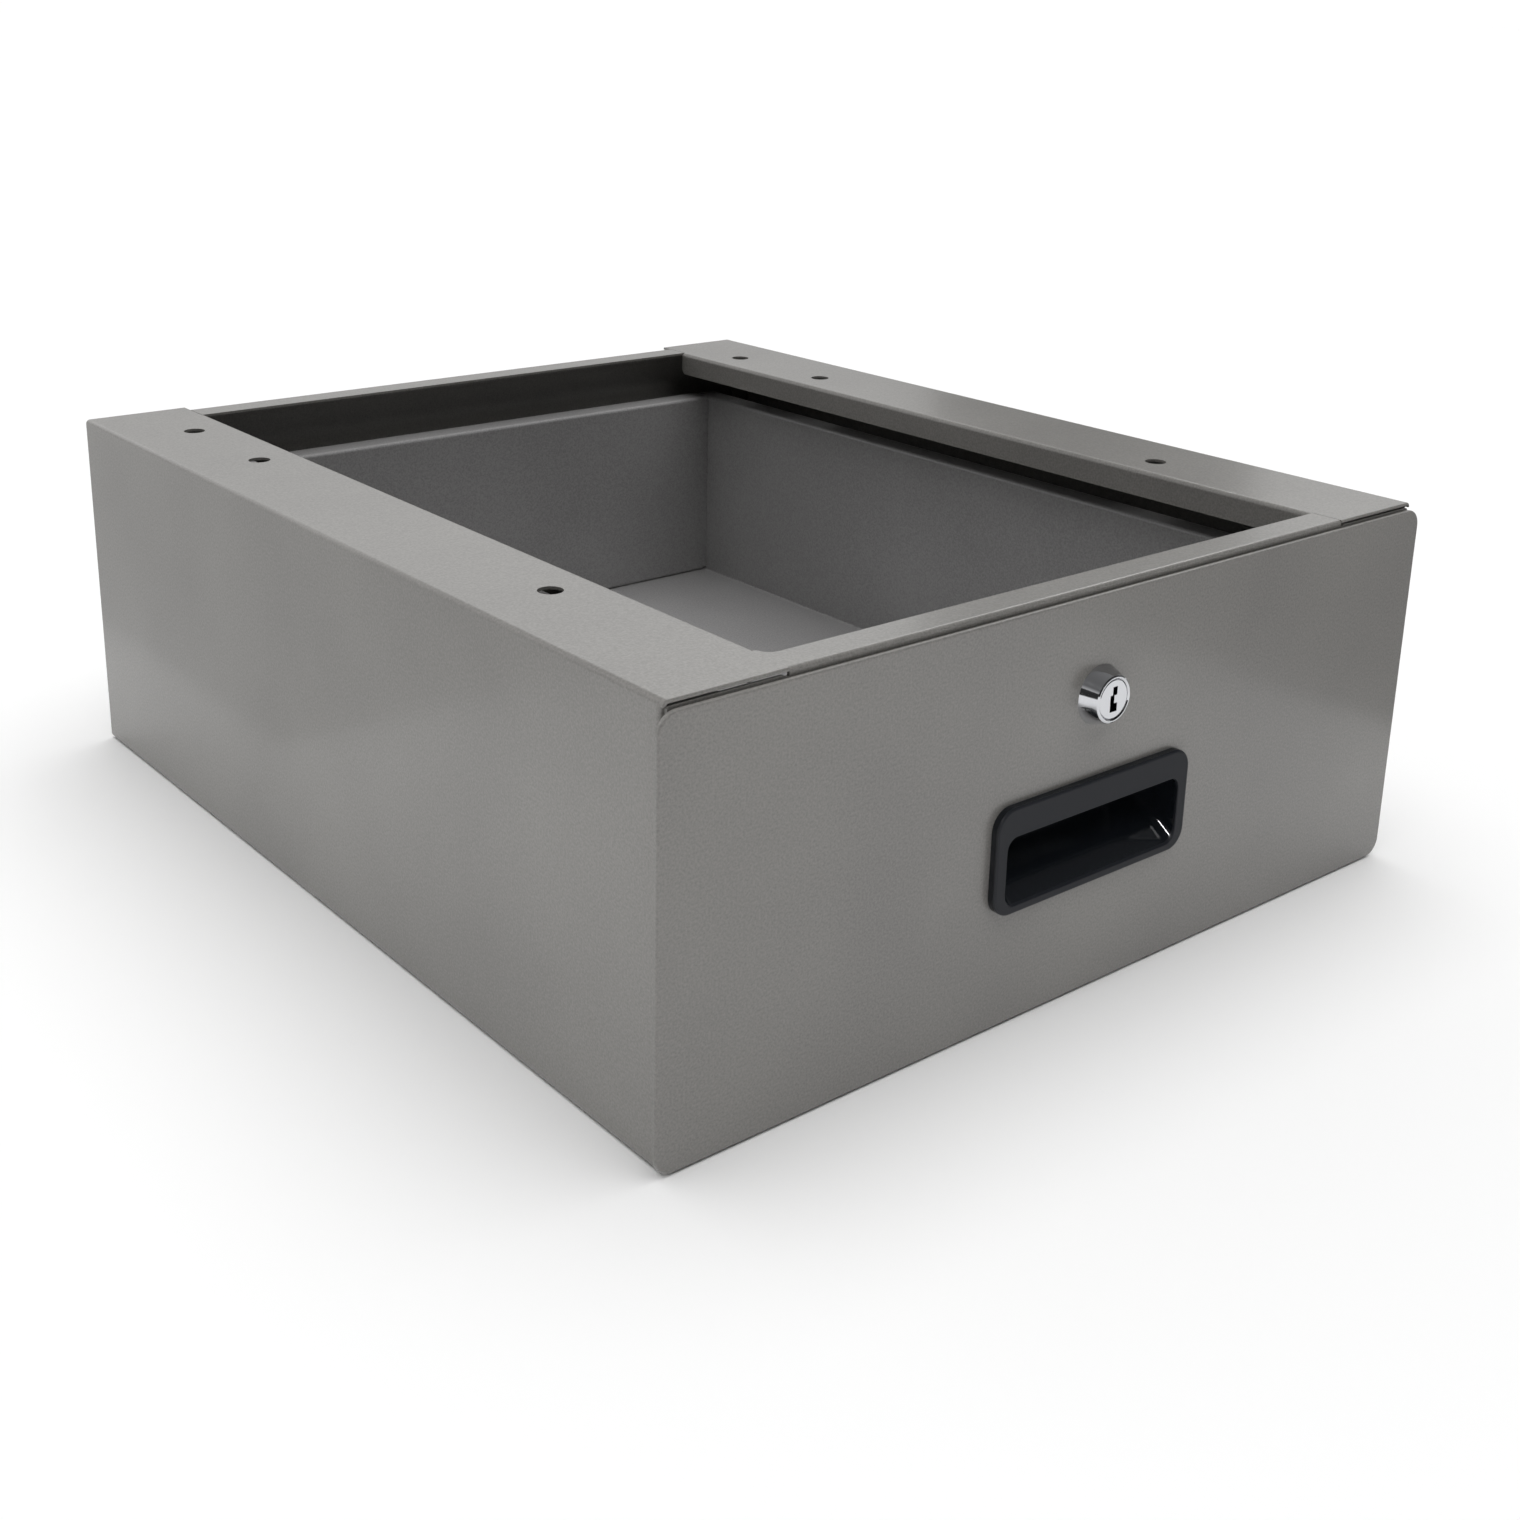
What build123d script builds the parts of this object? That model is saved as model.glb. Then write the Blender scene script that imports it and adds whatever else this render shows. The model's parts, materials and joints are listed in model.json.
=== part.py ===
from build123d import *
import math
import os

# A lockable steel drawer in an open-topped case that hangs under a counter.
# X runs left to right, Y from the front to the back, Z up. The origin is at the middle of the
# whole object's footprint, at the height of its base. All sizes are in millimetres.

# ---------------------------------------------------------------- case
case_width = 394.0
case_depth = 459.5
case_height = 162.5
case_sheet = 1.2
case_bend = 2.0
top_flange_width = 51.4
lip_height = 11.9
lip_end_radius = 3.0
bottom_flange_width = 20.0
front_return_width = 22.0
relief_gap = 0.9
flange_edge_radius = 0.5
seam_gap = 0.3

# Holes in the top flanges, for hanging the case
hole_diameter = 9.5
hole_from_side = 32.5
front_hole_from_front = 109.0
middle_hole_from_back = 119.5
rear_hole_from_back = 50.5

# Front rails and back panel
rail_depth = 13.7
rail_front_drop = 22.0
rail_bend = 1.5
rail_corner_radius = 5.0
rail_notch_width = 1.5
rail_notch_depth = 0.8
rail_end_radius = 1.6
bottom_rail_height = 20.0
bottom_rail_depth = 18.0
back_panel_inset = 5.0
back_flange_depth = 15.3
back_side_flange = 15.0
back_corner_gap = 4.0

# ---------------------------------------------------------------- drawer
drawer_sheet = 1.0
drawer_bend = 1.8
drawer_floor_height = 32.5
rail_to_drawer_gap = 3.0
drawer_side_flange = 12.0
drawer_rear_flange = 12.7
drawer_rear_gap = 12.0
drawer_tab_width = 10.0
tab_clearance = 0.1

# Front panel
panel_overhang = 3.75
panel_sheet = 1.6
panel_gap = 1.2
panel_bottom = 0.4
panel_reveal = 2.7
panel_corner_radius = 7.5
panel_edge_radius = 0.8
stud_diameter = 4.0
stud_length = 8.0
stud_hole_clearance = 0.5
stud_from_side = 29.0
stud_from_edge = 16.0
nut_width = 7.0
nut_thickness = 3.2
nut_clearance = 0.1
nut_flange_diameter = 9.0
nut_flange_thickness = 0.8

# ---------------------------------------------------------------- slides
spacer_depth = 25.0
spacer_height = 50.0
spacer_foot = 12.0
slide_thickness = 12.7
slide_sheet = 1.2
slide_bend = 1.6
slide_height = 45.0
outer_lip_depth = 9.4
outer_lip_height = 2.5
ball_diameter = 3.3
ball_clearance = 0.2
ball_pitch = 20.0
balls_in_row = 8
cage_sheet = 0.4
cage_gap = 0.3
cage_hole_clearance = 0.05
middle_offset = 2.2
middle_flange_depth = 8.4
inner_flange_depth = 8.1
slide_front_setback = 6.4
slide_rear_setback = 48.0
middle_setback = 2.0
middle_shortening = 20.0
inner_shortening = 12.0
outer_cage_setback = 106.0
inner_cage_setback = 116.0
stop_length = 9.0
stop_height = 16.0
stop_width = 6.5
rivet_diameter = 4.0
rivet_head_diameter = 6.2
rivet_tail_diameter = 6.0
rivet_tail_length = 1.6
rivet_clearance = 0.05
rivets_per_slide = 3
rivet_end_distance = 40.0

# ---------------------------------------------------------------- handle
handle_width = 106.0
handle_height = 42.0
handle_corner_radius = 8.5
handle_proud = 3.4
handle_edge_radius = 1.0
handle_side_rim = 5.4
handle_top_rim = 11.4
handle_bottom_rim = 3.1
handle_mouth_radius = 5.0
handle_lip_radius = 0.4
handle_hood_thickness = 2.0
handle_floor_slope = 35.0
handle_back_radius = 6.0
handle_cup_inset = 3.4
handle_cup_wall = 1.8
handle_cup_depth = 20.0
handle_cup_radius = 6.3
handle_cup_taper = 1.5
handle_cut_clearance = 0.5
handle_lug_width = 12.0
handle_lug_spacing = 60.0
handle_lug_height = 2.0
handle_lug_length = 6.0
handle_lug_gap = 0.2
handle_place = 0.4  # how far up the pull sits from the drawer floor to the lock

# ---------------------------------------------------------------- lock
lock_below_top = 41.3
bezel_base_diameter = 23.2
bezel_face_diameter = 18.0
bezel_height = 7.0
bezel_edge_chamfer = 0.4
barrel_diameter = 18.0
barrel_clearance = 0.1
plug_diameter = 15.4
plug_clearance = 0.05
plug_recess = 0.3
plug_edge_chamfer = 0.4
keyway_height = 9.6
keyway_widths = (2.4, 2.2, 3.8)  # top, middle and bottom thirds
keyway_offsets = (0.6, -0.7, 0.2)
keyway_depth = 16.0
tang_width = 6.0
tang_clearance = 0.05
washer_diameter = 24.0
washer_thickness = 0.8
lock_nut_width = 22.0
lock_nut_thickness = 4.0
cam_thickness = 2.0
cam_width = 14.0
cam_engagement = 5.5
cam_gap = 1.0
cam_screw_diameter = 3.0
cam_screw_length = 6.0
cam_screw_head_diameter = 7.0
cam_screw_head_height = 2.0
cam_screw_slot = 0.8
keeper_width = 50.0
keeper_drop = 14.8
keeper_leg = 7.0
keeper_front_gap = 2.8

# ---------------------------------------------------------------- rubber buffers
buffer_diameter = 9.0
buffer_clearance = 0.3
buffer_edge_radius = 0.5
buffer_low = 32.0
buffer_high_below_rail = 12.0

# ---------------------------------------------------------------- places that follow from the sizes
overall_depth = case_depth + panel_gap + panel_sheet + bezel_height
half_case = case_width / 2
case_back = overall_depth / 2
case_front = case_back - case_depth
panel_back = case_front - panel_gap
panel_face = panel_back - panel_sheet
bezel_face = panel_face - bezel_height

web_inner = half_case - case_sheet
flange_inner = half_case - top_flange_width
flange_seam = flange_inner + case_bend
rail_end = flange_seam - seam_gap
rail_back = case_front + rail_depth
return_front = case_front + case_sheet
return_back = return_front + case_sheet
return_top = case_height - case_sheet - relief_gap
return_bottom = 2 * case_sheet + relief_gap
back_panel_rear = case_back - back_panel_inset
back_panel_inner = back_panel_rear - case_sheet
back_flange_front = back_panel_rear - back_flange_depth

spacer_face = web_inner - spacer_depth
drawer_outer = spacer_face - slide_thickness
drawer_inner = drawer_outer - drawer_sheet
drawer_top = case_height - rail_front_drop - rail_to_drawer_gap
drawer_base = drawer_floor_height - drawer_sheet
drawer_front_rear = panel_back + drawer_sheet
drawer_back_rear = back_panel_inner - drawer_rear_gap - drawer_rear_flange + drawer_sheet
drawer_back_inner = drawer_back_rear - drawer_sheet
drawer_rear_end = drawer_back_rear + drawer_tab_width
drawer_flange_edge = drawer_inner + drawer_side_flange

slide_centre = (drawer_base + drawer_top) / 2
slide_front = case_front + slide_front_setback
slide_rear = back_panel_inner - slide_rear_setback
slide_length = slide_rear - slide_front

lock_centre = case_height - lock_below_top
handle_centre = drawer_floor_height + handle_place * (lock_centre - drawer_floor_height)
handle_face = panel_face - handle_proud
hood_rear = handle_face + handle_hood_thickness
mouth_half = handle_width / 2 - handle_side_rim
mouth_top = handle_centre + handle_height / 2 - handle_top_rim
mouth_bottom = handle_centre - handle_height / 2 + handle_bottom_rim
cup_width = handle_width - 2 * handle_cup_inset
cup_height = handle_height - 2 * handle_cup_inset
hollow_top = handle_centre + cup_height / 2 - handle_cup_wall
hollow_rear = panel_face + handle_cup_depth - handle_cup_wall
floor_rise = math.tan(math.radians(handle_floor_slope))

keeper_rear = case_front + keeper_front_gap + keeper_leg
keeper_bottom = case_height - case_sheet - keeper_drop
cam_front = keeper_rear + cam_gap
cam_rear = cam_front + cam_thickness
cam_reach = keeper_bottom + cam_engagement - lock_centre

panel_width = case_width + 2 * panel_overhang
panel_height = case_height - panel_reveal - panel_bottom
hole_rows = (
    case_front + front_hole_from_front,
    case_back - middle_hole_from_back,
    case_back - rear_hole_from_back,
)


# ---------------------------------------------------------------- helpers
def front_plane(y):
    """An upright plane at depth y: a sketch on it has X to the right and Z up."""
    return Plane.XZ.offset(-y)


def bent_sheet(corners, thickness, bend, side=Side.LEFT):
    """The section of a folded sheet: corners run along its outer face, bend is the outer radius."""
    with BuildSketch() as section:
        with BuildLine():
            FilletPolyline(*corners, radius=bend)
            offset(amount=thickness, side=side)
        make_face()
    return section.sketch


def edges_at(builder, axis, place):
    """The edges whose middle lies at the given place along the axis."""
    slack = 0.01
    return builder.edges().filter_by_position(axis, place - slack, place + slack)


def mirrored(source):
    """The left-hand twin of a right-hand piece."""
    with BuildPart() as twin:
        mirror(source.part, about=Plane.YZ)
    return twin


def write(piece, name):
    piece.part.label = name
    export_step(piece.part, f"parts/{name}.step")


# ---------------------------------------------------------------- case
def make_side(lip_front):
    """Right side: an upright web with a lipped top flange, a bottom flange and a return at the front."""
    with BuildPart() as side:
        # Web, top flange with its lip, and bottom flange
        with BuildSketch(front_plane(case_front)):
            add(
                bent_sheet(
                    [
                        (half_case - bottom_flange_width, 0),
                        (half_case, 0),
                        (half_case, case_height),
                        (flange_inner, case_height),
                        (flange_inner, case_height - lip_height),
                    ],
                    case_sheet,
                    case_bend,
                )
            )
        extrude(amount=-case_depth)
        # The lip stops short of the front rail and of the back panel's flange
        with BuildSketch(Plane.YZ.offset(flange_inner)):
            lip_back = back_flange_front - seam_gap
            lip_ends = ((case_front + lip_front) / 2, (case_back + lip_back) / 2)
            lip_gaps = (lip_front - case_front, case_back - lip_back)
            for centre, gap in zip(lip_ends, lip_gaps):
                with Locations((centre, case_height - lip_height / 2)):
                    Rectangle(gap, lip_height)
        extrude(amount=case_bend, mode=Mode.SUBTRACT)
        lip_corners = edges_at(side, Axis.Z, case_height - lip_height).filter_by(Axis.X)
        fillet(lip_corners, lip_end_radius)
        # The web's front edge is folded inwards between the two flanges
        with BuildSketch(Plane.YZ.offset(half_case)):
            with Locations((case_front + case_bend / 2 + case_sheet / 2, (return_top + return_bottom) / 2)):
                Rectangle(case_bend + case_sheet, return_top - return_bottom)
        extrude(amount=-case_sheet, mode=Mode.SUBTRACT)
        with BuildSketch(Plane.XY.offset(return_bottom)):
            add(
                bent_sheet(
                    [
                        (half_case, return_back + case_bend),
                        (half_case, return_front),
                        (half_case - front_return_width, return_front),
                    ],
                    case_sheet,
                    case_bend,
                    Side.RIGHT,
                )
            )
        extrude(amount=return_top - return_bottom)
        # The top flange's front edge is rounded over
        front_edge = edges_at(side, Axis.Y, case_front).filter_by(Axis.X).sort_by(Axis.Z)[-1]
        fillet(front_edge, flange_edge_radius)
        # Mounting holes through the top flange
        for row in hole_rows:
            with BuildSketch(Plane.XY.offset(case_height)):
                with Locations((half_case - hole_from_side, row)):
                    Circle(hole_diameter / 2)
            extrude(amount=-case_sheet, mode=Mode.SUBTRACT)
    return side


right_side = make_side(rail_back + seam_gap)
left_side = mirrored(make_side(rail_back + rail_corner_radius + seam_gap))

with BuildPart() as front_rail:
    # Top face with a soft fold down at the front: welded to the left flange, a seam away from the right one
    with BuildSketch(Plane.YZ.offset(-flange_seam)):
        add(
            bent_sheet(
                [
                    (case_front, case_height - rail_front_drop),
                    (case_front, case_height),
                    (rail_back, case_height),
                ],
                case_sheet,
                rail_bend,
                Side.RIGHT,
            )
        )
    extrude(amount=flange_seam + rail_end)
    # The front drop runs on under the side flanges, past a notch at each end of the fold
    with BuildSketch(front_plane(case_front)):
        notch_floor = return_top - rail_notch_depth
        drop_bottom = case_height - rail_front_drop
        with Locations((0, (drop_bottom + notch_floor) / 2)):
            Rectangle(2 * (web_inner - seam_gap), notch_floor - drop_bottom)
        tongue_start = rail_end + rail_notch_width
        tongue_end = web_inner - seam_gap
        tongue_height = return_top - drop_bottom
        for hand in (-1, 1):
            with Locations((hand * (tongue_start + tongue_end) / 2, drop_bottom + tongue_height / 2)):
                RectangleRounded(tongue_end - tongue_start, tongue_height, rail_end_radius)
    extrude(amount=-case_sheet)
    # A rounded corner runs into the left flange, where its lip starts
    with BuildSketch(Plane.XY.offset(case_height)):
        with BuildLine():
            tip = (-flange_inner, rail_back + rail_corner_radius)
            heel = (rail_corner_radius - flange_inner, rail_back)
            RadiusArc(tip, heel, -rail_corner_radius)
            Polyline(heel, (-flange_seam, rail_back), (-flange_seam, rail_back + rail_corner_radius), tip)
        make_face()
    extrude(amount=-case_sheet)

with BuildPart() as bottom_rail:
    # Angle that ties the two sides together below the drawer
    rail_half = half_case - case_bend
    with BuildSketch(Plane.YZ.offset(-rail_half)):
        add(
            bent_sheet(
                [
                    (case_front, bottom_rail_height),
                    (case_front, case_sheet),
                    (case_front + bottom_rail_depth, case_sheet),
                ],
                case_sheet,
                case_bend,
            )
        )
    extrude(amount=2 * rail_half)

with BuildPart() as back_panel:
    # Top and bottom flanges fold forwards between the side flanges
    with BuildSketch(Plane.YZ.offset(-rail_end)):
        add(
            bent_sheet(
                [
                    (back_flange_front, case_height),
                    (back_panel_rear, case_height),
                    (back_panel_rear, case_sheet),
                    (back_panel_rear - back_side_flange, case_sheet),
                ],
                case_sheet,
                case_bend,
                Side.RIGHT,
            )
        )
    extrude(amount=2 * rail_end)
    # Side flanges lie against the two webs
    with BuildSketch(Plane.XY.offset(case_sheet + back_corner_gap)):
        add(
            bent_sheet(
                [
                    (-web_inner, back_panel_rear - back_side_flange),
                    (-web_inner, back_panel_rear),
                    (web_inner, back_panel_rear),
                    (web_inner, back_panel_rear - back_side_flange),
                ],
                case_sheet,
                case_bend,
                Side.RIGHT,
            )
        )
    extrude(amount=case_height - 2 * case_sheet - 2 * back_corner_gap)
    # The wall carries on behind the side flanges, past the corner notches
    with BuildSketch(front_plane(back_panel_inner)):
        with Locations((0, case_height / 2)):
            Rectangle(2 * (web_inner - case_bend), case_height - 2 * case_sheet)
    extrude(amount=-case_sheet)

with BuildPart() as right_spacer:
    # Hat section that brings the slide out to the edge of the front opening
    low = slide_centre - spacer_height / 2
    high = slide_centre + spacer_height / 2
    with BuildSketch(front_plane(slide_front)):
        add(
            bent_sheet(
                [
                    (web_inner, low - spacer_foot),
                    (web_inner, low),
                    (spacer_face + case_sheet, low),
                    (spacer_face + case_sheet, high),
                    (web_inner, high),
                    (web_inner, high + spacer_foot),
                ],
                case_sheet,
                [case_bend + case_sheet, case_bend, case_bend, case_bend + case_sheet],
            )
        )
    extrude(amount=-(slide_length + rivet_end_distance / 2))
    # Rivet holes
    rivet_pitch = (slide_length - 2 * rivet_end_distance) / (rivets_per_slide - 1)
    rivet_places = [slide_front + rivet_end_distance + i * rivet_pitch for i in range(rivets_per_slide)]
    with BuildSketch(Plane.YZ.offset(spacer_face)):
        with Locations(*[(y, slide_centre) for y in rivet_places]):
            Circle(rivet_diameter / 2 + rivet_clearance)
    extrude(amount=case_sheet, mode=Mode.SUBTRACT)

left_spacer = mirrored(right_spacer)

with BuildPart() as lock_keeper:
    # Angle under the top rail that the cam turns up behind
    with BuildSketch(Plane.YZ.offset(-keeper_width / 2)):
        add(
            bent_sheet(
                [
                    (keeper_rear - keeper_leg, case_height - case_sheet),
                    (keeper_rear, case_height - case_sheet),
                    (keeper_rear, keeper_bottom),
                ],
                case_sheet,
                case_bend,
                Side.RIGHT,
            )
        )
    extrude(amount=keeper_width)

with BuildPart() as panel_buffers:
    # Four rubber discs on the front returns, which the closed panel comes up to
    buffer_x = half_case - front_return_width / 2
    buffer_high = case_height - rail_front_drop - buffer_high_below_rail
    with BuildSketch(front_plane(return_front)):
        for height in (buffer_low, buffer_high):
            with Locations((-buffer_x, height), (buffer_x, height)):
                Circle(buffer_diameter / 2)
    extrude(amount=return_front - panel_back - buffer_clearance)
    front_rims = panel_buffers.edges().filter_by(GeomType.CIRCLE).group_by(Axis.Y)[0]
    fillet(front_rims, buffer_edge_radius)


# ---------------------------------------------------------------- slides
def slide_section(offset_from_case, depth, half_height, opens_to_drawer):
    """A channel of the right-hand slide, its web at the given distance from the spacer."""
    web = spacer_face - offset_from_case
    tip = web - depth if opens_to_drawer else web + depth
    hand = Side.LEFT if opens_to_drawer else Side.RIGHT
    return bent_sheet(
        [
            (tip, slide_centre - half_height),
            (web, slide_centre - half_height),
            (web, slide_centre + half_height),
            (tip, slide_centre + half_height),
        ],
        slide_sheet,
        slide_bend,
        hand,
    )


ball_gap = ball_diameter + 2 * ball_clearance
middle_half_height = slide_height / 2 - slide_sheet - ball_gap
inner_half_height = middle_half_height - slide_sheet - ball_gap
outer_ball_row = middle_half_height + ball_gap / 2
inner_ball_row = inner_half_height + ball_gap / 2
outer_cage_offset = slide_sheet + cage_gap
inner_cage_offset = middle_offset + slide_sheet + cage_gap
cage_length = ball_pitch * balls_in_row
middle_front = slide_front + middle_setback
middle_length = slide_length - middle_shortening
inner_length = slide_length - inner_shortening

with BuildPart() as right_slide_outer:
    # Case member: a channel whose flanges end in small hooks that keep the balls in
    with BuildSketch(front_plane(slide_front)):
        outer_half = slide_height / 2
        outer_tip = spacer_face - outer_lip_depth
        add(
            bent_sheet(
                [
                    (outer_tip, slide_centre - outer_half + outer_lip_height),
                    (outer_tip, slide_centre - outer_half),
                    (spacer_face, slide_centre - outer_half),
                    (spacer_face, slide_centre + outer_half),
                    (outer_tip, slide_centre + outer_half),
                    (outer_tip, slide_centre + outer_half - outer_lip_height),
                ],
                slide_sheet,
                slide_bend,
            )
        )
    extrude(amount=-slide_length)
    # Countersunk rivet holes
    with BuildSketch(Plane.YZ.offset(spacer_face)):
        with Locations(*[(y, slide_centre) for y in rivet_places]):
            Circle(rivet_diameter / 2 + rivet_clearance)
    extrude(amount=-slide_sheet, mode=Mode.SUBTRACT)
    sink_edges = edges_at(right_slide_outer, Axis.X, spacer_face - slide_sheet).filter_by(GeomType.CIRCLE)
    rivet_sink = (rivet_head_diameter - rivet_diameter) / 2
    chamfer(sink_edges, rivet_sink)

with BuildPart() as right_slide_middle:
    with BuildSketch(front_plane(middle_front)):
        add(slide_section(middle_offset, middle_flange_depth, middle_half_height, True))
    extrude(amount=-middle_length)

with BuildPart() as right_slide_inner:
    # Drawer member, fixed along the drawer's wall
    with BuildSketch(front_plane(slide_front)):
        add(slide_section(slide_thickness, inner_flange_depth, inner_half_height, False))
    extrude(amount=-inner_length)


def make_cage(offset_from_case, depth, ball_row, ball_offset, setback):
    """A thin strip folded round one pair of races, with a hole for each ball, and its balls."""
    cage_front = slide_front + setback
    web = spacer_face - offset_from_case
    ball_places = [cage_front + ball_pitch * (i + 0.5) for i in range(balls_in_row)]
    ball_x = spacer_face - ball_offset
    cage_half = ball_row + cage_sheet / 2
    with BuildPart() as cage:
        with BuildSketch(front_plane(cage_front)):
            add(
                bent_sheet(
                    [
                        (web - depth, slide_centre - cage_half),
                        (web, slide_centre - cage_half),
                        (web, slide_centre + cage_half),
                        (web - depth, slide_centre + cage_half),
                    ],
                    cage_sheet,
                    2 * cage_sheet,
                )
            )
        extrude(amount=-cage_length)
        with BuildSketch(Plane.XY.offset(slide_centre - cage_half)):
            with Locations(*[(ball_x, y) for y in ball_places]):
                Circle(ball_diameter / 2 + cage_hole_clearance)
        extrude(amount=2 * cage_half, mode=Mode.SUBTRACT)
    with BuildPart() as balls:
        for hand in (-1, 1):
            with Locations(*[(ball_x, y, slide_centre + hand * ball_row) for y in ball_places]):
                Sphere(ball_diameter / 2)
    return cage, balls


outer_cage_depth = middle_offset + middle_flange_depth - outer_cage_offset - slide_sheet - 2 * cage_gap
inner_cage_depth = middle_flange_depth - slide_sheet - 2 * cage_gap
right_outer_cage, right_outer_balls = make_cage(
    outer_cage_offset,
    outer_cage_depth,
    outer_ball_row,
    outer_cage_offset + outer_cage_depth / 2,
    outer_cage_setback,
)
right_inner_cage, right_inner_balls = make_cage(
    inner_cage_offset,
    inner_cage_depth,
    inner_ball_row,
    inner_cage_offset + inner_cage_depth / 2,
    inner_cage_setback,
)

with BuildPart() as right_slide_stop:
    # Rubber block at the back of the case member
    with BuildSketch(front_plane(slide_rear)):
        with Locations((spacer_face - slide_sheet - stop_width / 2, slide_centre)):
            Rectangle(stop_width, stop_height)
    extrude(amount=stop_length)
    stop_corners = right_slide_stop.edges().filter_by(Axis.Y).group_by(Axis.X)[0]
    fillet(stop_corners, buffer_edge_radius)

with BuildPart() as slide_rivets:
    # Flush-headed rivets hold the case members to the spacers
    for hand in (-1, 1):
        for y in rivet_places:
            with BuildSketch(Plane.XZ.offset(-y)):
                with BuildLine():
                    head_face = spacer_face - slide_sheet
                    tail_start = spacer_face + case_sheet
                    tail_end = tail_start + rivet_tail_length
                    Polyline(
                        (hand * head_face, slide_centre),
                        (hand * head_face, slide_centre + rivet_head_diameter / 2),
                        (hand * (head_face + rivet_sink), slide_centre + rivet_diameter / 2),
                        (hand * tail_start, slide_centre + rivet_diameter / 2),
                        (hand * tail_start, slide_centre + rivet_tail_diameter / 2),
                        (hand * tail_end, slide_centre + rivet_diameter / 2),
                        (hand * tail_end, slide_centre),
                        close=True,
                    )
                make_face()
            revolve(axis=Axis((0, y, slide_centre), (1, 0, 0)))

left_slide_outer = mirrored(right_slide_outer)
left_slide_middle = mirrored(right_slide_middle)
left_slide_inner = mirrored(right_slide_inner)
left_outer_cage = mirrored(right_outer_cage)
left_outer_balls = mirrored(right_outer_balls)
left_inner_cage = mirrored(right_inner_cage)
left_inner_balls = mirrored(right_inner_balls)
left_slide_stop = mirrored(right_slide_stop)

# ---------------------------------------------------------------- drawer box
with BuildPart() as drawer_tray:
    # Floor and two walls from one sheet, each wall with a flange turned outwards
    with BuildSketch(front_plane(drawer_front_rear)):
        add(
            bent_sheet(
                [
                    (-drawer_flange_edge, drawer_top - drawer_sheet),
                    (-drawer_outer, drawer_top - drawer_sheet),
                    (-drawer_outer, drawer_base),
                    (drawer_outer, drawer_base),
                    (drawer_outer, drawer_top - drawer_sheet),
                    (drawer_flange_edge, drawer_top - drawer_sheet),
                ],
                drawer_sheet,
                [drawer_bend - drawer_sheet, drawer_bend, drawer_bend, drawer_bend - drawer_sheet],
            )
        )
    extrude(amount=-(drawer_rear_end - drawer_front_rear))

with BuildPart() as drawer_back:
    # Rear wall with a flange turned back along its top
    wall_half = drawer_inner - tab_clearance
    flange_back = drawer_back_inner + drawer_rear_flange
    with BuildSketch(Plane.YZ.offset(-wall_half)):
        add(
            bent_sheet(
                [
                    (drawer_back_inner, drawer_floor_height + drawer_bend),
                    (drawer_back_inner, drawer_top),
                    (flange_back, drawer_top),
                ],
                drawer_sheet,
                drawer_bend,
                Side.RIGHT,
            )
        )
    extrude(amount=2 * wall_half)
    # Tabs turned back along the walls and the floor
    with BuildSketch(Plane.XY.offset(drawer_floor_height + 2 * drawer_bend)):
        add(
            bent_sheet(
                [
                    (-drawer_inner, drawer_rear_end),
                    (-drawer_inner, drawer_back_inner),
                    (drawer_inner, drawer_back_inner),
                    (drawer_inner, drawer_rear_end),
                ],
                drawer_sheet,
                drawer_bend,
            )
        )
    extrude(amount=drawer_top - drawer_floor_height - 4 * drawer_bend)
    with BuildSketch(Plane.YZ.offset(-wall_half + drawer_bend)):
        add(
            bent_sheet(
                [
                    (drawer_rear_end, drawer_floor_height),
                    (drawer_back_inner, drawer_floor_height),
                    (drawer_back_inner, drawer_top - 2 * drawer_bend),
                ],
                drawer_sheet,
                drawer_bend,
                Side.RIGHT,
            )
        )
    extrude(amount=2 * (wall_half - drawer_bend))

stud_x = drawer_inner - stud_from_side
stud_heights = (drawer_floor_height + stud_from_edge, drawer_top - stud_from_edge)
stud_places = [(hand * stud_x, height) for hand in (-1, 1) for height in stud_heights]
cut_width = cup_width + 2 * handle_cut_clearance
cut_height = cup_height + 2 * handle_cut_clearance
cut_radius = handle_cup_radius + handle_cut_clearance

with BuildPart() as drawer_front:
    # Front wall of the box, behind the face panel
    with BuildSketch(front_plane(drawer_front_rear)):
        with Locations((0, (drawer_base + drawer_top) / 2)):
            Rectangle(2 * drawer_flange_edge, drawer_top - drawer_base)
        with Locations((0, handle_centre)):
            RectangleRounded(cut_width, cut_height, cut_radius, mode=Mode.SUBTRACT)
        with Locations((0, lock_centre)):
            Circle(barrel_diameter / 2 + barrel_clearance, mode=Mode.SUBTRACT)
        with Locations(*stud_places):
            Circle((stud_diameter + stud_hole_clearance) / 2, mode=Mode.SUBTRACT)
    extrude(amount=drawer_sheet)
    # Tabs turned back along the two walls
    with BuildSketch(Plane.XY.offset(drawer_floor_height + drawer_bend)):
        for hand in (-1, 1):
            tab_centre = drawer_inner - drawer_sheet / 2
            with Locations((hand * tab_centre, drawer_front_rear + drawer_tab_width / 2)):
                Rectangle(drawer_sheet, drawer_tab_width)
    extrude(amount=drawer_top - drawer_floor_height - 3 * drawer_bend)

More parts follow.
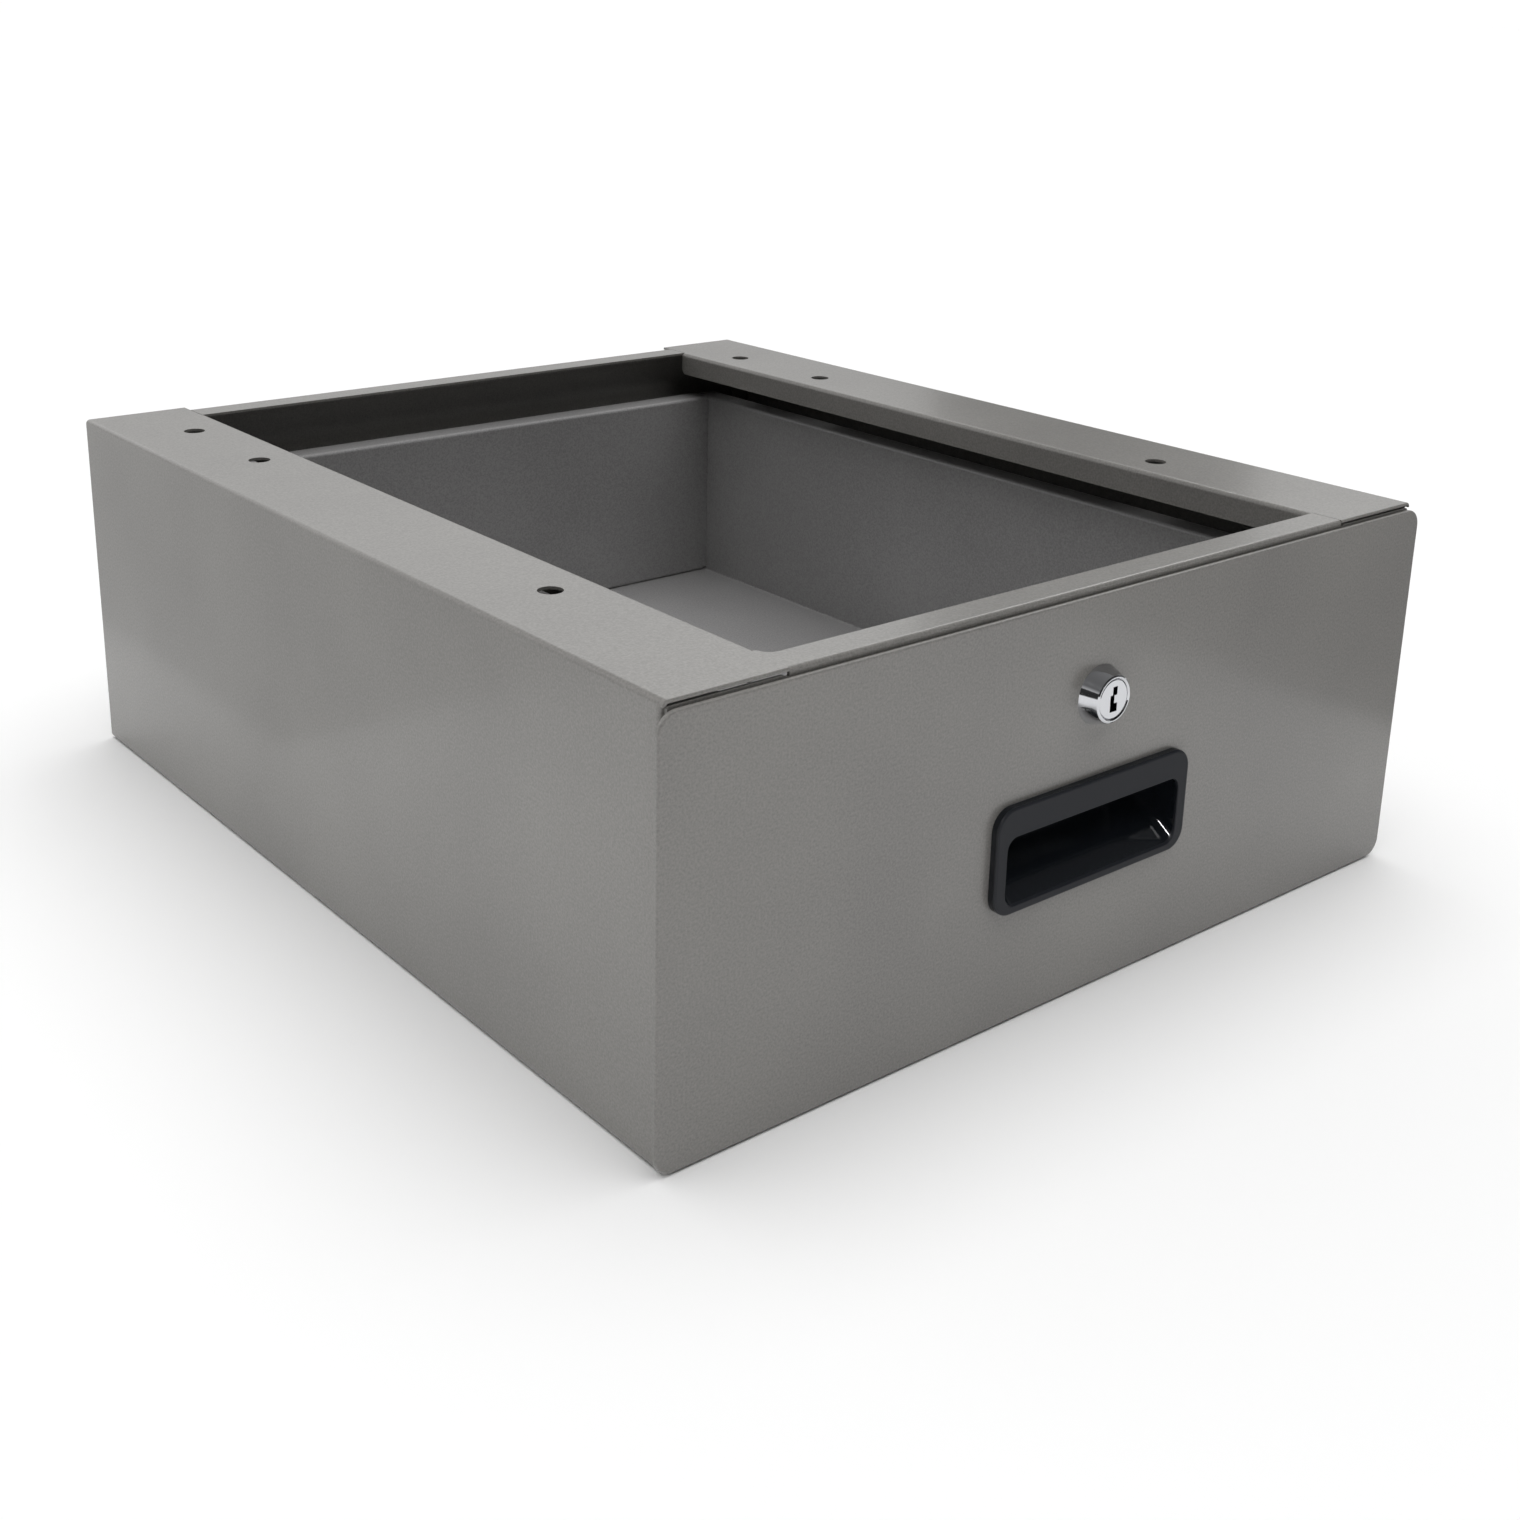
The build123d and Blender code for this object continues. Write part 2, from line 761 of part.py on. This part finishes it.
with BuildPart() as face_panel:
    with BuildSketch(front_plane(panel_back)):
        with Locations((0, panel_bottom + panel_height / 2)):
            RectangleRounded(panel_width, panel_height, panel_corner_radius)
    extrude(amount=panel_sheet)
    outline = face_panel.faces().sort_by(Axis.Y)[0].outer_wire().edges()
    fillet(outline, panel_edge_radius)
    with BuildSketch(front_plane(panel_back)):
        with Locations((0, handle_centre)):
            RectangleRounded(cut_width, cut_height, cut_radius)
        with Locations((0, lock_centre)):
            Circle(barrel_diameter / 2 + barrel_clearance)
    extrude(amount=panel_sheet, mode=Mode.SUBTRACT)
    # Welded studs reach back through the drawer's front wall
    with BuildSketch(front_plane(panel_back)):
        with Locations(*stud_places):
            Circle(stud_diameter / 2)
    extrude(amount=-stud_length)

with BuildPart() as panel_nuts:
    with BuildSketch(front_plane(drawer_front_rear)):
        with Locations(*stud_places):
            Circle(nut_flange_diameter / 2)
            Circle(stud_diameter / 2 + nut_clearance, mode=Mode.SUBTRACT)
    extrude(amount=-nut_flange_thickness)
    with BuildSketch(front_plane(drawer_front_rear + nut_flange_thickness)):
        with Locations(*stud_places):
            RegularPolygon(nut_width / 2, 6, major_radius=False)
            Circle(stud_diameter / 2 + nut_clearance, mode=Mode.SUBTRACT)
    extrude(amount=-(nut_thickness - nut_flange_thickness))

# ---------------------------------------------------------------- handle
with BuildPart() as finger_space:
    # The hollow: its floor climbs from the mouth to the rear, and it reaches up behind the hood
    with BuildSketch(Plane.YZ):
        floor_end = mouth_bottom + floor_rise * (hollow_rear - handle_face)
        with BuildLine():
            Polyline(
                (handle_face, mouth_top),
                (handle_face, mouth_bottom),
                (hollow_rear, floor_end),
                (hollow_rear, hollow_top),
                (hood_rear, hollow_top),
                (hood_rear, mouth_top),
                close=True,
            )
        section = make_face()
        fillet(section.vertices().group_by(Axis.X)[-1], handle_back_radius)
    extrude(amount=mouth_half, both=True)
    for hand in (-1, 1):
        side_edges = edges_at(finger_space, Axis.X, hand * mouth_half)
        behind_hood = side_edges.filter_by_position(Axis.Y, hood_rear + handle_lip_radius, hollow_rear)
        fillet(behind_hood, handle_mouth_radius)
    fillet(edges_at(finger_space, Axis.Z, mouth_top).filter_by(Axis.Y), handle_mouth_radius)

with BuildPart() as handle:
    # Flat rim on the panel's face, rounded over at its outer edge
    with BuildSketch(front_plane(panel_face)):
        with Locations((0, handle_centre)):
            RectangleRounded(handle_width, handle_height, handle_corner_radius)
    extrude(amount=handle_proud)
    fillet(edges_at(handle, Axis.Y, handle_face), handle_edge_radius)
    # Cup behind it, through the cut-out
    with BuildSketch(front_plane(panel_face)):
        with Locations((0, handle_centre)):
            RectangleRounded(cup_width, cup_height, handle_cup_radius)
    extrude(amount=-handle_cup_depth, taper=handle_cup_taper)
    back_rim = handle.faces().sort_by(Axis.Y)[-1].outer_wire().edges()
    fillet(back_rim, handle_cup_wall)
    # Behind the snap lugs the cup's underside climbs with its floor
    lug_rear = drawer_front_rear + handle_lug_gap + handle_lug_length
    cup_rear = panel_face + handle_cup_depth
    cup_bottom = handle_centre - cup_height / 2
    under_floor = mouth_bottom - handle_cup_wall / math.cos(math.radians(handle_floor_slope))
    with BuildSketch(Plane.YZ):
        with BuildLine():
            Polyline(
                (lug_rear, cup_bottom),
                (lug_rear, under_floor + floor_rise * (lug_rear - handle_face)),
                (cup_rear, under_floor + floor_rise * (cup_rear - handle_face)),
                (cup_rear, cup_bottom),
                close=True,
            )
        make_face()
    extrude(amount=cup_width / 2, both=True, mode=Mode.SUBTRACT)
    add(finger_space.part, mode=Mode.SUBTRACT)
    # Rounded lip round the mouth
    mouth = handle.faces().sort_by(Axis.Y)[0].inner_wires().edges()
    fillet(mouth, handle_lip_radius)
    # Snap lugs behind the drawer's front wall
    with BuildSketch(front_plane(drawer_front_rear + handle_lug_gap)):
        for hand in (-1, 1):
            with Locations((0, handle_centre + hand * cup_height / 2)):
                with GridLocations(handle_lug_spacing, handle_lug_height, 2, 1):
                    Rectangle(handle_lug_width, 2 * handle_lug_height)
    extrude(amount=-handle_lug_length)

# ---------------------------------------------------------------- lock
with BuildPart() as lock_housing:
    # Cone-shaped bezel and a round barrel, bored for the plug
    with BuildSketch(Plane.YZ):
        with BuildLine():
            Polyline(
                (bezel_face, plug_diameter / 2 + plug_clearance),
                (bezel_face, bezel_face_diameter / 2),
                (panel_face, bezel_base_diameter / 2),
                (panel_face, barrel_diameter / 2),
                (cam_front - cam_gap, barrel_diameter / 2),
                (cam_front - cam_gap, plug_diameter / 2 + plug_clearance),
                close=True,
            )
        make_face()
    revolve(axis=Axis.Y)
    rims = lock_housing.edges().filter_by(GeomType.CIRCLE).group_by(Axis.Y)[0]
    chamfer(rims, bezel_edge_chamfer)

with BuildPart() as lock_washer:
    with BuildSketch(front_plane(drawer_front_rear)):
        Circle(washer_diameter / 2)
        Circle(barrel_diameter / 2 + barrel_clearance, mode=Mode.SUBTRACT)
    extrude(amount=-washer_thickness)

with BuildPart() as lock_nut:
    with BuildSketch(front_plane(drawer_front_rear + washer_thickness)):
        RegularPolygon(lock_nut_width / 2, 6, major_radius=False)
        Circle(barrel_diameter / 2 + barrel_clearance, mode=Mode.SUBTRACT)
    extrude(amount=-lock_nut_thickness)

with BuildPart() as lock_plug:
    with BuildSketch(front_plane(bezel_face + plug_recess)):
        Circle(plug_diameter / 2)
    extrude(amount=-(cam_front - bezel_face - plug_recess))
    # Square tang for the cam
    with BuildSketch(front_plane(cam_front)):
        Rectangle(tang_width, tang_width)
    extrude(amount=-cam_thickness)
    # Bevelled face and a keyway that steps from side to side
    chamfer(lock_plug.edges().filter_by(GeomType.CIRCLE).sort_by(Axis.Y)[0], plug_edge_chamfer)
    with BuildSketch(front_plane(bezel_face + plug_recess)):
        third = keyway_height / 3
        for level, sideways, width in zip((1, 0, -1), keyway_offsets, keyway_widths):
            with Locations((sideways, level * third)):
                Rectangle(width, third)
    extrude(amount=-keyway_depth, mode=Mode.SUBTRACT)
    # Tapped hole for the cam screw
    with BuildSketch(front_plane(cam_rear)):
        Circle(cam_screw_diameter / 2)
    extrude(amount=cam_screw_length, mode=Mode.SUBTRACT)

with BuildPart() as lock_cam:
    with BuildSketch(front_plane(cam_front)):
        SlotCenterPoint((cam_reach / 2 - cam_width / 4, 0), (cam_reach - cam_width / 2, 0), cam_width)
        Rectangle(tang_width + 2 * tang_clearance, tang_width + 2 * tang_clearance, mode=Mode.SUBTRACT)
    extrude(amount=-cam_thickness)

with BuildPart() as cam_screw:
    with BuildSketch(front_plane(cam_rear)):
        Circle(cam_screw_diameter / 2)
    extrude(amount=cam_screw_length)
    with BuildSketch(front_plane(cam_rear)):
        Circle(cam_screw_head_diameter / 2)
    extrude(amount=-cam_screw_head_height)
    head_rim = cam_screw.edges().filter_by(GeomType.CIRCLE).group_by(Axis.Y)[-1]
    fillet(head_rim, cam_screw_slot)
    with BuildSketch(front_plane(cam_rear + cam_screw_head_height)):
        Rectangle(cam_screw_head_diameter, cam_screw_slot)
    extrude(amount=cam_screw_slot, mode=Mode.SUBTRACT)


def raised(piece):
    """A lock piece, modelled about the Y axis, moved up to the lock's height."""
    with BuildPart() as placed:
        add(piece.part.moved(Location((0, 0, lock_centre))))
    return placed


# ---------------------------------------------------------------- files
os.makedirs("parts", exist_ok=True)
write(left_side, "left_side")
write(right_side, "right_side")
write(front_rail, "front_rail")
write(bottom_rail, "bottom_rail")
write(back_panel, "back_panel")
write(left_spacer, "left_spacer")
write(right_spacer, "right_spacer")
write(lock_keeper, "lock_keeper")
write(panel_buffers, "panel_buffers")
write(left_slide_outer, "left_slide_outer")
write(right_slide_outer, "right_slide_outer")
write(left_slide_middle, "left_slide_middle")
write(right_slide_middle, "right_slide_middle")
write(left_slide_inner, "left_slide_inner")
write(right_slide_inner, "right_slide_inner")
write(left_outer_cage, "left_outer_cage")
write(right_outer_cage, "right_outer_cage")
write(left_outer_balls, "left_outer_balls")
write(right_outer_balls, "right_outer_balls")
write(left_inner_cage, "left_inner_cage")
write(right_inner_cage, "right_inner_cage")
write(left_inner_balls, "left_inner_balls")
write(right_inner_balls, "right_inner_balls")
write(left_slide_stop, "left_slide_stop")
write(right_slide_stop, "right_slide_stop")
write(slide_rivets, "slide_rivets")
write(drawer_tray, "drawer_tray")
write(drawer_back, "drawer_back")
write(drawer_front, "drawer_front")
write(face_panel, "face_panel")
write(panel_nuts, "panel_nuts")
write(handle, "handle")
write(raised(lock_housing), "lock_housing")
write(raised(lock_washer), "lock_washer")
write(raised(lock_nut), "lock_nut")
write(raised(lock_plug), "lock_plug")
write(raised(lock_cam), "lock_cam")
write(raised(cam_screw), "cam_screw")
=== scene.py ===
import json
import math

import bpy
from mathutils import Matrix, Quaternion, Vector


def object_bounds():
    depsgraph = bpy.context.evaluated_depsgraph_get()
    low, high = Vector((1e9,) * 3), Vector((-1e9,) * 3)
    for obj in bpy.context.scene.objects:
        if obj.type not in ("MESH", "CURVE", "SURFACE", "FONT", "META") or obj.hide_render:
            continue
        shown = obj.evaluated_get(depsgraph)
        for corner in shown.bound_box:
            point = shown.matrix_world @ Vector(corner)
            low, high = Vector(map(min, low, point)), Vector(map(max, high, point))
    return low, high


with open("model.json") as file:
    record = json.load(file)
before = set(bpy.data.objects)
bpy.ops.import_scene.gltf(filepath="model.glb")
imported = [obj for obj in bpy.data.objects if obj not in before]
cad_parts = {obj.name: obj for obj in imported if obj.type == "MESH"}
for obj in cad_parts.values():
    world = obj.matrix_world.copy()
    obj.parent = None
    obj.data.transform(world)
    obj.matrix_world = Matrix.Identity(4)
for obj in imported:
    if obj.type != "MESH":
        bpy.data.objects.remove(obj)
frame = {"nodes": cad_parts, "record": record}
cad_low, cad_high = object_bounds()

MM = 0.001


# ---------------------------------------------------------------- colours and nodes
def linear(hex_colour):
    """An sRGB hex colour as linear red, green, blue and alpha."""
    channels = []
    for start in (1, 3, 5):
        value = int(hex_colour[start:start + 2], 16) / 255
        channels.append(value / 12.92 if value <= 0.04045 else ((value + 0.055) / 1.055) ** 2.4)
    return (*channels, 1.0)


def add_node(tree, kind, inputs, **settings):
    """Adds a node. inputs maps a socket to a plain value or to another node's output."""
    made = tree.nodes.new(kind)
    for name, value in settings.items():
        setattr(made, name, value)
    for socket, value in inputs.items():
        if isinstance(value, bpy.types.NodeSocket):
            tree.links.new(value, made.inputs[socket])
        else:
            made.inputs[socket].default_value = value
    return made


def new_material(name):
    """An empty material, its tree, its surface shader and the object coordinates."""
    material = bpy.data.materials.new(name)
    material.use_nodes = True
    tree = material.node_tree
    tree.nodes.clear()
    shader = tree.nodes.new("ShaderNodeBsdfPrincipled")
    add_node(tree, "ShaderNodeOutputMaterial", {"Surface": shader.outputs["BSDF"]})
    place = tree.nodes.new("ShaderNodeTexCoord").outputs["Object"]
    return material, tree, shader, place


def per_metre(size_mm):
    """The texture scale at which one bump is about this many millimetres wide."""
    return 1 / (size_mm * MM)


def set_steps(ramp, steps):
    """Gives a colour ramp its places and sRGB hex colours, from two steps upwards."""
    first, *between, last = steps
    for element, (place, colour) in zip(ramp.elements, (first, last)):
        element.position = place
        element.color = linear(colour)
    for place, colour in between:
        ramp.elements.new(place).color = linear(colour)


# ---------------------------------------------------------------- materials
def powder_coat(name, grey, darker, roughness):
    """Polyester powder baked on steel: an even warm grey, fine orange peel, and soft wide highlights."""
    peel_mm = 0.9
    peel_depth_mm = 0.02
    cloud_mm = 70.0
    cloud_share = 0.25
    material, tree, shader, place = new_material(name)
    peel = add_node(
        tree,
        "ShaderNodeTexNoise",
        {"Vector": place, "Scale": per_metre(peel_mm), "Detail": 2.0, "Roughness": 0.6},
    )
    cloud = add_node(
        tree,
        "ShaderNodeTexNoise",
        {"Vector": place, "Scale": per_metre(cloud_mm), "Detail": 2.0, "Roughness": 0.45},
    )
    both = add_node(
        tree,
        "ShaderNodeMix",
        {"Factor": cloud_share, "A": peel.outputs["Fac"], "B": cloud.outputs["Fac"]},
        data_type="FLOAT",
    )
    shade = add_node(tree, "ShaderNodeValToRGB", {"Fac": both.outputs["Result"]})
    set_steps(shade.color_ramp, ((0.36, darker), (0.64, grey)))
    bump = add_node(
        tree,
        "ShaderNodeBump",
        {"Strength": 0.2, "Distance": peel_depth_mm * MM, "Height": peel.outputs["Fac"]},
    )
    tree.links.new(shade.outputs["Color"], shader.inputs["Base Color"])
    tree.links.new(bump.outputs["Normal"], shader.inputs["Normal"])
    shader.inputs["Roughness"].default_value = roughness
    shader.inputs["IOR"].default_value = 1.5
    shader.inputs["Coat Weight"].default_value = 0.5
    shader.inputs["Coat Roughness"].default_value = 0.16
    return material


def plated_steel(name, colour, roughness, streak_mm):
    """Bright zinc on rolled steel: silver-grey metal with faint streaks along the rolling direction."""
    rolling_stretch = (1.0, 0.06, 1.0)
    material, tree, shader, place = new_material(name)
    stretched = add_node(tree, "ShaderNodeMapping", {"Vector": place, "Scale": rolling_stretch})
    streaks = add_node(
        tree,
        "ShaderNodeTexNoise",
        {"Vector": stretched.outputs["Vector"], "Scale": per_metre(streak_mm), "Detail": 3.0},
    )
    sheen = add_node(
        tree,
        "ShaderNodeMapRange",
        {"Value": streaks.outputs["Fac"], "To Min": roughness - 0.08, "To Max": roughness + 0.1},
    )
    tree.links.new(sheen.outputs["Result"], shader.inputs["Roughness"])
    shader.inputs["Base Color"].default_value = linear(colour)
    shader.inputs["Metallic"].default_value = 1.0
    return material


def polished_chrome(name, colour, roughness):
    """Polished chrome or ground steel: mirror-bright, with light and dark bands and softly eased edges."""
    haze_mm = 1.5
    eased_edge_mm = 0.2
    material, tree, shader, place = new_material(name)
    haze = add_node(
        tree, "ShaderNodeTexNoise", {"Vector": place, "Scale": per_metre(haze_mm), "Detail": 2.0}
    )
    sheen = add_node(
        tree,
        "ShaderNodeMapRange",
        {"Value": haze.outputs["Fac"], "To Min": roughness * 0.6, "To Max": roughness * 1.4},
    )
    eased = add_node(tree, "ShaderNodeBevel", {"Radius": eased_edge_mm * MM}, samples=4)
    tree.links.new(sheen.outputs["Result"], shader.inputs["Roughness"])
    tree.links.new(eased.outputs["Normal"], shader.inputs["Normal"])
    shader.inputs["Base Color"].default_value = linear(colour)
    shader.inputs["Metallic"].default_value = 1.0
    return material


def moulded_abs(name, rim_colour, cup_colour_with_recess_shade, rim_roughness, cup_roughness, rim_back_mm):
    """Black injection-moulded ABS: a fine satin texture on the rim, and a polished, glinting cup.

    rim_back_mm is where the cup begins behind the flat rim, along Y. The cup's colour is the rim's black
    made
    a little darker: painted shade inside the recess.
    """
    texture_mm = 0.5
    wave_mm = 5.0
    relief_mm = 0.03
    change_mm = 1.5
    material, tree, shader, place = new_material(name)
    depth = add_node(tree, "ShaderNodeSeparateXYZ", {"Vector": place})
    in_cup = add_node(
        tree,
        "ShaderNodeMapRange",
        {
            "Value": depth.outputs["Y"],
            "From Min": (rim_back_mm - change_mm) * MM,
            "From Max": rim_back_mm * MM,
        },
    )
    texture = add_node(
        tree, "ShaderNodeTexNoise", {"Vector": place, "Scale": per_metre(texture_mm), "Detail": 1.0}
    )
    waves = add_node(
        tree, "ShaderNodeTexNoise", {"Vector": place, "Scale": per_metre(wave_mm), "Detail": 2.0}
    )
    # The rim has the plastic's own black; the cup's darker colour is painted shade in the recess
    pairs = {
        "dye_and_recess_shade": ("RGBA", linear(rim_colour), linear(cup_colour_with_recess_shade)),
        "sheen": ("FLOAT", rim_roughness, cup_roughness),
        "height": ("FLOAT", texture.outputs["Fac"], waves.outputs["Fac"]),
    }
    mixed = {}
    for use, (kind, on_rim, inside_cup) in pairs.items():
        inputs = {"Factor": in_cup.outputs["Result"], "A": on_rim, "B": inside_cup}
        mixed[use] = add_node(tree, "ShaderNodeMix", inputs, data_type=kind).outputs["Result"]
    bump = add_node(
        tree,
        "ShaderNodeBump",
        {"Strength": 0.15, "Distance": relief_mm * MM, "Height": mixed["height"]},
    )
    tree.links.new(mixed["dye_and_recess_shade"], shader.inputs["Base Color"])
    tree.links.new(mixed["sheen"], shader.inputs["Roughness"])
    tree.links.new(bump.outputs["Normal"], shader.inputs["Normal"])
    shader.inputs["IOR"].default_value = 1.47
    return material


def moulded_rubber(name, colour):
    """Moulded black rubber: matt, with a fine dusty grain."""
    grain_mm = 0.5
    grain_depth_mm = 0.05
    material, tree, shader, place = new_material(name)
    grain = add_node(
        tree, "ShaderNodeTexNoise", {"Vector": place, "Scale": per_metre(grain_mm), "Detail": 2.0}
    )
    bump = add_node(
        tree,
        "ShaderNodeBump",
        {"Strength": 0.3, "Distance": grain_depth_mm * MM, "Height": grain.outputs["Fac"]},
    )
    tree.links.new(bump.outputs["Normal"], shader.inputs["Normal"])
    shader.inputs["Base Color"].default_value = linear(colour)
    shader.inputs["Roughness"].default_value = 0.85
    shader.inputs["IOR"].default_value = 1.52
    return material


# One finish for each material slot in the record
finishes = {
    "powder_coat_case": powder_coat("powder_coat_case", "#84827e", "#706e6b", roughness=0.37),
    "powder_coat_panel": powder_coat("powder_coat_panel", "#84827e", "#706e6c", roughness=0.4),
    "powder_coat_drawer": powder_coat("powder_coat_drawer", "#9c9b9b", "#868585", roughness=0.45),
    "zinc_slide": plated_steel("bright_zinc_on_rolled_steel", "#b4b7bb", roughness=0.34, streak_mm=1.2),
    "zinc_hardware": plated_steel("bright_zinc_hardware", "#b0b2b4", roughness=0.38, streak_mm=0.6),
    "ball_steel": polished_chrome("ground_bearing_steel", "#c6c8cc", roughness=0.12),
    "lock_chrome": polished_chrome("polished_chrome_on_zinc", "#cfd0d3", roughness=0.08),
    "handle_plastic": moulded_abs(
        "black_moulded_abs",
        rim_colour="#191b21",
        # The rim's black a little darker: painted shade inside the pull's recess
        cup_colour_with_recess_shade="#16191d",
        rim_roughness=0.66,
        cup_roughness=0.1,
        rim_back_mm=-229.5,
    ),
    "buffer_rubber": moulded_rubber("black_moulded_rubber", "#1b1b1b"),
}

for subpart in frame["record"]["subparts"]:
    piece = frame["nodes"][subpart["node"]]
    piece.data.materials.clear()
    piece.data.materials.append(finishes[subpart["material_slot"]])

# ---------------------------------------------------------------- floor and light
scene = bpy.context.scene


def turn(thing, place, aim, axis):
    """Puts a card or light at a place, with the axis that it faces along turned to a point."""
    thing.location = place
    thing.rotation_mode = "QUATERNION"
    thing.rotation_quaternion = (Vector(aim) - Vector(place)).to_track_quat(axis, "Y")


def studio_floor(size, colour):
    """A plain pale floor under the object."""
    bpy.ops.mesh.primitive_plane_add(size=size, location=(0, 0, cad_low.z - 0.5 * MM))
    floor = bpy.context.object
    floor.name = "studio_floor"
    material, _, shader, _ = new_material("matt_white_floor")
    shader.inputs["Base Color"].default_value = linear(colour)
    shader.inputs["Roughness"].default_value = 0.9
    floor.data.materials.append(material)


def grey_card(name, place, aim, width, height, grey):
    """A card off to one side, seen only as a reflection in satin paint and chrome."""
    bpy.ops.mesh.primitive_plane_add(size=1.0)
    card = bpy.context.object
    card.name = name
    card.scale = (width, height, 1.0)
    turn(card, place, aim, "Z")
    card.visible_camera = False
    card.visible_shadow = False
    card.visible_diffuse = False
    material, _, shader, _ = new_material("matt_grey_card")
    shader.inputs["Base Color"].default_value = linear(grey)
    shader.inputs["Roughness"].default_value = 1.0
    card.data.materials.append(material)


def softbox(name, place, aim, width, height, power, in_gloss=True, in_diffuse=True):
    """A rectangular light turned to a point. It may be kept out of gloss or of diffuse light."""
    light = bpy.data.lights.new(name, "AREA")
    light.shape = "RECTANGLE"
    light.size = width
    light.size_y = height
    light.energy = power
    holder = bpy.data.objects.new(name, light)
    turn(holder, place, aim, "-Z")
    holder.visible_glossy = in_gloss
    holder.visible_diffuse = in_diffuse
    scene.collection.objects.link(holder)


studio_floor(size=60.0, colour="#fbfbfb")

# One very wide soft light overhead, so holes and edges throw blurred shadows
ceiling = bpy.data.lights.new("ceiling_light", "SUN")
ceiling.energy = 2.6
ceiling.angle = math.radians(76.0)
ceiling_holder = bpy.data.objects.new("ceiling_light", ceiling)
ceiling_holder.rotation_euler = (math.radians(7.0), math.radians(3.0), 0.0)
ceiling_holder.visible_glossy = False
scene.collection.objects.link(ceiling_holder)

# Seen only as reflections: dark cards behind and to the left, and grey ones lying on the floor
middle = (cad_low + cad_high) / 2
grey_card("back_card", (3.17, 2.44, 1.15), middle, width=0.82, height=1.3, grey="#303030")
grey_card("left_card", (-2.6, 0.3, 0.72), middle, width=2.4, height=1.1, grey="#303030")
grey_card("right_floor_card", (0.92, -0.62, 0.01), (0.92, -0.62, 1.0), width=1.2, height=0.9, grey="#8c8c8c")
grey_card("left_floor_card", (-0.8, 0.75, 0.01), (-0.8, 0.75, 1.0), width=1.1, height=1.2, grey="#cacaca")

# A low fill for the front and the left side, a small light for the glint in the pull, and a strip
# that draws bright lines along the sheet edges
softbox("front_fill", (-1.6, -2.2, 0.13), middle, width=1.6, height=0.25, power=4.4, in_gloss=False)
softbox("key_light", (-1.92, -0.9, 2.2), middle, width=0.2, height=0.2, power=15.0, in_diffuse=False)
softbox("edge_strip", (2.1, 0.88, 1.89), middle, width=1.5, height=0.25, power=7.0, in_diffuse=False)

# A pale room: bright low down behind the object, dimmer in front and towards the ceiling.
# Each step is the height of a direction, as its upward share, and the grey that is seen there.
ROOM_BY_HEIGHT = (
    (0.0, "#ffffff"),
    (0.06, "#9c9c9c"),
    (0.2, "#9c9c9c"),
    (0.34, "#ffffff"),
    (0.42, "#ffffff"),
    (0.6, "#8f8f8f"),
)
world = bpy.data.worlds.new("pale_room")
scene.world = world
world.use_nodes = True
room = world.node_tree
facing = room.nodes.new("ShaderNodeTexCoord").outputs["Generated"]
direction = add_node(room, "ShaderNodeSeparateXYZ", {"Vector": facing})
by_height = add_node(room, "ShaderNodeValToRGB", {"Fac": direction.outputs["Z"]})
set_steps(by_height.color_ramp, ROOM_BY_HEIGHT)
by_depth = add_node(
    room,
    "ShaderNodeMapRange",
    {"Value": direction.outputs["Y"], "From Min": -0.4, "From Max": 0.5, "To Min": 0.06, "To Max": 1.3},
)
walls = room.nodes["Background"]
room.links.new(by_height.outputs["Color"], walls.inputs["Color"])
room.links.new(by_depth.outputs["Result"], walls.inputs["Strength"])
scene.view_settings.view_transform = "Standard"
scene.view_settings.look = "None"

# ---------------------------------------------------------------- camera
CAMERA_PLACE = Vector((-0.5111, -0.6421, 0.3647))
CAMERA_ROUND = math.radians(-39.074)
CAMERA_UP = math.radians(16.911)
CAMERA_ROLL = math.radians(1.059)
CAMERA_LENS_MM = 44.62
CAMERA_SENSOR_MM = 36.0
CAMERA_SHIFT = (0.0197, -0.1303)

camera_data = bpy.data.cameras.new("camera")
camera_data.sensor_width = CAMERA_SENSOR_MM
camera_data.lens = CAMERA_LENS_MM
camera_data.shift_x, camera_data.shift_y = CAMERA_SHIFT
camera = bpy.data.objects.new("camera", camera_data)
back = Vector(
    (
        math.sin(CAMERA_ROUND) * math.cos(CAMERA_UP),
        -math.cos(CAMERA_ROUND) * math.cos(CAMERA_UP),
        math.sin(CAMERA_UP),
    )
)
turn(camera, CAMERA_PLACE, CAMERA_PLACE - back, "-Z")
camera.rotation_quaternion = camera.rotation_quaternion @ Quaternion((0, 0, 1), CAMERA_ROLL)
scene.collection.objects.link(camera)
scene.camera = camera
